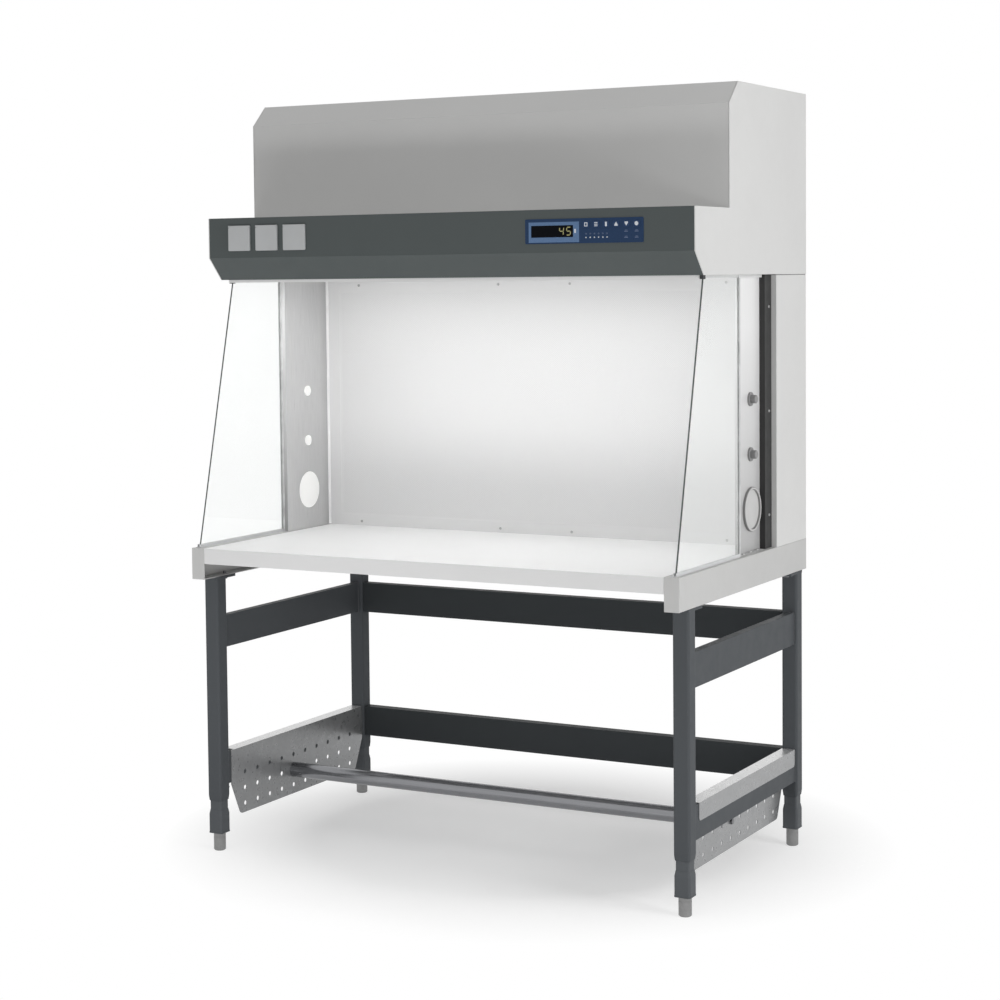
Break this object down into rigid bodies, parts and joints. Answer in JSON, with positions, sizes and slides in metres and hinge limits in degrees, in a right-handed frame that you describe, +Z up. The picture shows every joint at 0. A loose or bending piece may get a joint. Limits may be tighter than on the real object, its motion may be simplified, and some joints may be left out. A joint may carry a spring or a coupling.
{
  "type": "laminar flow hood",
  "caption": "Horizontal laminar flow hood with slanted glass side panes on a height-adjustable stand with perforated foot-rest brackets.",
  "frame": {"origin": "centre of the footprint of the whole hood at floor level", "axes": "+X to the hood's right as seen by the operator, -Y towards the operator, +Z up"},
  "size_m": [1.3, 0.801, 1.866],
  "materials": {
    "stand_paint": "satin powder coat, dark grey",
    "zinc": "zinc-plated steel",
    "stainless": "brushed stainless steel",
    "dark_steel": "blackened steel",
    "cover_paint": "satin powder coat, light grey",
    "worktop_paint": "smooth white coating",
    "fascia_paint": "satin powder coat, slate grey",
    "post_paint": "matt dark grey",
    "clear_glass": "clear, polished edges",
    "black_rubber": "matt black",
    "clear_seal": "translucent grey sealing strip",
    "anodised": "clear anodised",
    "grey_plastic": "light grey moulding",
    "white_plastic": "white moulding",
    "filter_paper": "pleated glass paper in a frame",
    "panel_blue": "dark blue foil",
    "display_black": "smoked window on a circuit board",
    "black_plastic": "black moulding",
    "screw_steel": "bright steel screws"
  },
  "bodies": {
    "cabinet": {"base_rail_left": "cover_paint", "base_rail_right": "cover_paint", "beam_lower": "stand_paint", "beam_upper": "stand_paint", "canopy_fascia": "fascia_paint", "ceiling": "worktop_paint", "column_left": "stainless", "column_right": "stainless", "control_panel": "panel_blue", "diffuser": "worktop_paint", "display": "display_black", "fan_deck": "zinc", "fan_motor": "dark_steel", "footrest_bar": "stainless", "footrest_bracket_left": "zinc", "footrest_bracket_right": "zinc", "glass_channels": "anodised", "glass_clips": "black_rubber", "glass_gaskets": "clear_seal", "glass_left": "clear_glass", "glass_right": "clear_glass", "head_front": "cover_paint", "head_rear": "cover_paint", "head_side_left": "cover_paint", "head_side_right": "cover_paint", "head_top": "cover_paint", "hepa_filter": "filter_paper", "hex_bolts": "dark_steel", "lamp_cover": "white_plastic", "lamp_housing": "worktop_paint", "mains_inlet": "black_plastic", "outlets": "grey_plastic", "panel_screws": "screw_steel", "port_covers": "white_plastic", "port_plugs": "grey_plastic", "post_left": "post_paint", "post_right": "post_paint", "prefilter": "filter_paper", "rear_cover": "cover_paint", "side_frame_left": "stand_paint", "side_frame_right": "stand_paint", "worktop": "worktop_paint"},
    "inner_leg_front_left": {"inner_leg_front_left": "stand_paint"},
    "inner_leg_front_right": {"inner_leg_front_right": "stand_paint"},
    "inner_leg_rear_left": {"inner_leg_rear_left": "stand_paint"},
    "inner_leg_rear_right": {"inner_leg_rear_right": "stand_paint"},
    "foot_front_left": {"foot_front_left": "zinc"},
    "foot_front_right": {"foot_front_right": "zinc"},
    "foot_rear_left": {"foot_rear_left": "zinc"},
    "foot_rear_right": {"foot_rear_right": "zinc"},
    "outlet_lid_1": {"outlet_lid_1": "grey_plastic"},
    "outlet_lid_2": {"outlet_lid_2": "grey_plastic"},
    "outlet_lid_3": {"outlet_lid_3": "grey_plastic"},
    "key_1": {"key_1": "panel_blue"},
    "key_2": {"key_2": "panel_blue"},
    "key_3": {"key_3": "panel_blue"},
    "key_4": {"key_4": "panel_blue"},
    "key_5": {"key_5": "panel_blue"},
    "key_6": {"key_6": "panel_blue"},
    "impeller": {"impeller": "anodised"}
  },
  "joints": [
    {"name": "leg_slide_front_left", "type": "slide", "parent": "cabinet", "child": "inner_leg_front_left", "axis": [0, 0, -1], "range_m": [0, 0.18]},
    {"name": "leg_slide_front_right", "type": "slide", "parent": "cabinet", "child": "inner_leg_front_right", "axis": [0, 0, -1], "range_m": [0, 0.18]},
    {"name": "leg_slide_rear_left", "type": "slide", "parent": "cabinet", "child": "inner_leg_rear_left", "axis": [0, 0, -1], "range_m": [0, 0.18]},
    {"name": "leg_slide_rear_right", "type": "slide", "parent": "cabinet", "child": "inner_leg_rear_right", "axis": [0, 0, -1], "range_m": [0, 0.18]},
    {"name": "foot_screw_front_left", "type": "slide", "parent": "inner_leg_front_left", "child": "foot_front_left", "axis": [0, 0, -1], "range_m": [0, 0.015]},
    {"name": "foot_screw_front_right", "type": "slide", "parent": "inner_leg_front_right", "child": "foot_front_right", "axis": [0, 0, -1], "range_m": [0, 0.015]},
    {"name": "foot_screw_rear_left", "type": "slide", "parent": "inner_leg_rear_left", "child": "foot_rear_left", "axis": [0, 0, -1], "range_m": [0, 0.015]},
    {"name": "foot_screw_rear_right", "type": "slide", "parent": "inner_leg_rear_right", "child": "foot_rear_right", "axis": [0, 0, -1], "range_m": [0, 0.015]},
    {"name": "outlet_lid_hinge_1", "type": "hinge", "parent": "cabinet", "child": "outlet_lid_1", "pos_m": [-0.557, -0.3079, 1.5552], "axis": [-1, 0, 0], "range_deg": [0, 95], "stiffness_Nm_per_rad": 0.02, "springref_deg": -20.05},
    {"name": "outlet_lid_hinge_2", "type": "hinge", "parent": "cabinet", "child": "outlet_lid_2", "pos_m": [-0.4768, -0.3079, 1.5552], "axis": [-1, 0, 0], "range_deg": [0, 95], "stiffness_Nm_per_rad": 0.02, "springref_deg": -20.05},
    {"name": "outlet_lid_hinge_3", "type": "hinge", "parent": "cabinet", "child": "outlet_lid_3", "pos_m": [-0.3966, -0.3079, 1.5552], "axis": [-1, 0, 0], "range_deg": [0, 95], "stiffness_Nm_per_rad": 0.02, "springref_deg": -20.05},
    {"name": "key_press_1", "type": "slide", "parent": "cabinet", "child": "key_1", "axis": [0, 1, 0], "range_m": [0, 0.0005], "stiffness_N_per_m": 3000, "springref_m": -0.0004},
    {"name": "key_press_2", "type": "slide", "parent": "cabinet", "child": "key_2", "axis": [0, 1, 0], "range_m": [0, 0.0005], "stiffness_N_per_m": 3000, "springref_m": -0.0004},
    {"name": "key_press_3", "type": "slide", "parent": "cabinet", "child": "key_3", "axis": [0, 1, 0], "range_m": [0, 0.0005], "stiffness_N_per_m": 3000, "springref_m": -0.0004},
    {"name": "key_press_4", "type": "slide", "parent": "cabinet", "child": "key_4", "axis": [0, 1, 0], "range_m": [0, 0.0005], "stiffness_N_per_m": 3000, "springref_m": -0.0004},
    {"name": "key_press_5", "type": "slide", "parent": "cabinet", "child": "key_5", "axis": [0, 1, 0], "range_m": [0, 0.0005], "stiffness_N_per_m": 3000, "springref_m": -0.0004},
    {"name": "key_press_6", "type": "slide", "parent": "cabinet", "child": "key_6", "axis": [0, 1, 0], "range_m": [0, 0.0005], "stiffness_N_per_m": 3000, "springref_m": -0.0004},
    {"name": "impeller_spin", "type": "hinge", "parent": "cabinet", "child": "impeller", "pos_m": [0, 0.15, 1.57], "axis": [0, 0, 1], "continuous": true}
  ]
}
